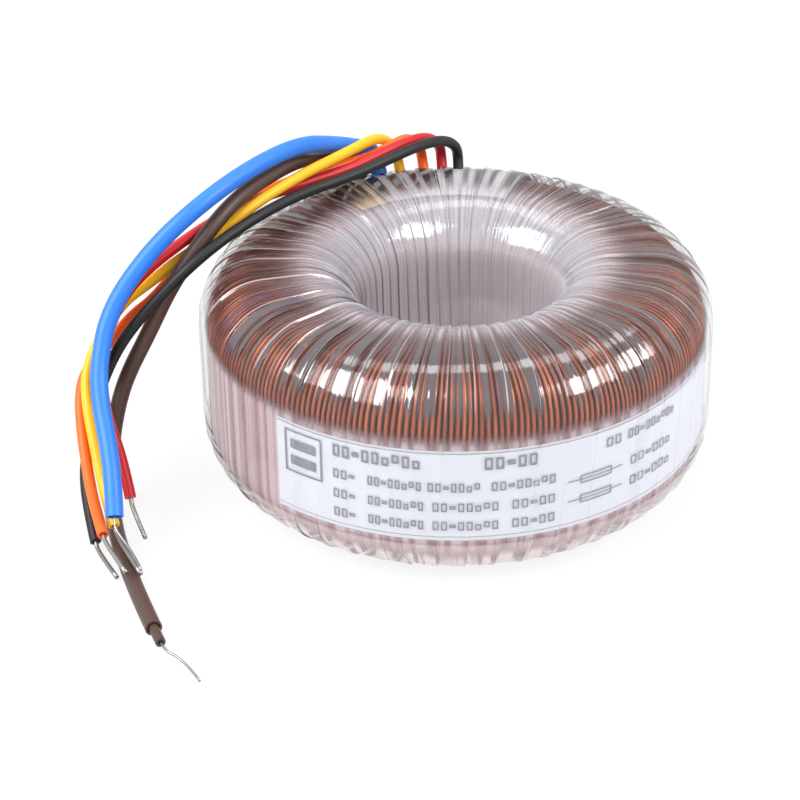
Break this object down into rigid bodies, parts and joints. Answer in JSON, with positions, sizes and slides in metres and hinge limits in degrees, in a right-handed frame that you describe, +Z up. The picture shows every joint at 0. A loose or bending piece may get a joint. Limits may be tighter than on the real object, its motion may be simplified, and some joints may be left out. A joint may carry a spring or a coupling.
{
  "type": "toroidal transformer",
  "caption": "Ring-shaped mains transformer wound in copper under clear film, with a wrap-round label and flying leads for wiring.",
  "frame": {"origin": "middle of the flat underside, where the ring's axis meets the surface it stands on", "axes": "+Z up along the ring's axis, -Y towards the label, +Y where the leads leave, leads run towards -X"},
  "size_m": [0.1293, 0.1336, 0.0608],
  "materials": {
    "clear_film": "gloss",
    "inner_film": "gloss",
    "copper": "enamelled",
    "copper_inner": "enamelled",
    "insulation": "satin",
    "core_steel": "strip-wound",
    "label": "matt",
    "pad": "matt",
    "tape": "satin",
    "blue_pvc": "satin",
    "brown_pvc": "satin",
    "yellow_pvc": "satin",
    "orange_pvc": "satin",
    "red_pvc": "satin",
    "black_pvc": "satin",
    "tinned_wire": "tinned"
  },
  "bodies": {
    "root": {"core": "core_steel", "core_insulation": "insulation", "primary_winding": "copper_inner", "winding_insulation": "insulation", "secondary_winding_a": "copper_inner", "secondary_winding_b": "copper", "inner_film": "inner_film", "label": "label", "lead_pad_a": "pad", "lead_pad_b": "pad", "edge_tape": "tape", "outer_film": "clear_film", "blue_sleeve": "blue_pvc", "blue_inner_sleeve": "blue_pvc", "blue_wire": "tinned_wire", "brown_sleeve": "brown_pvc", "brown_inner_sleeve": "brown_pvc", "brown_wire": "tinned_wire", "yellow_sleeve": "yellow_pvc", "yellow_wire": "tinned_wire", "orange_sleeve": "orange_pvc", "orange_wire": "tinned_wire", "red_sleeve": "red_pvc", "red_wire": "tinned_wire", "black_sleeve": "black_pvc", "black_wire": "tinned_wire"}
  },
  "joints": []
}
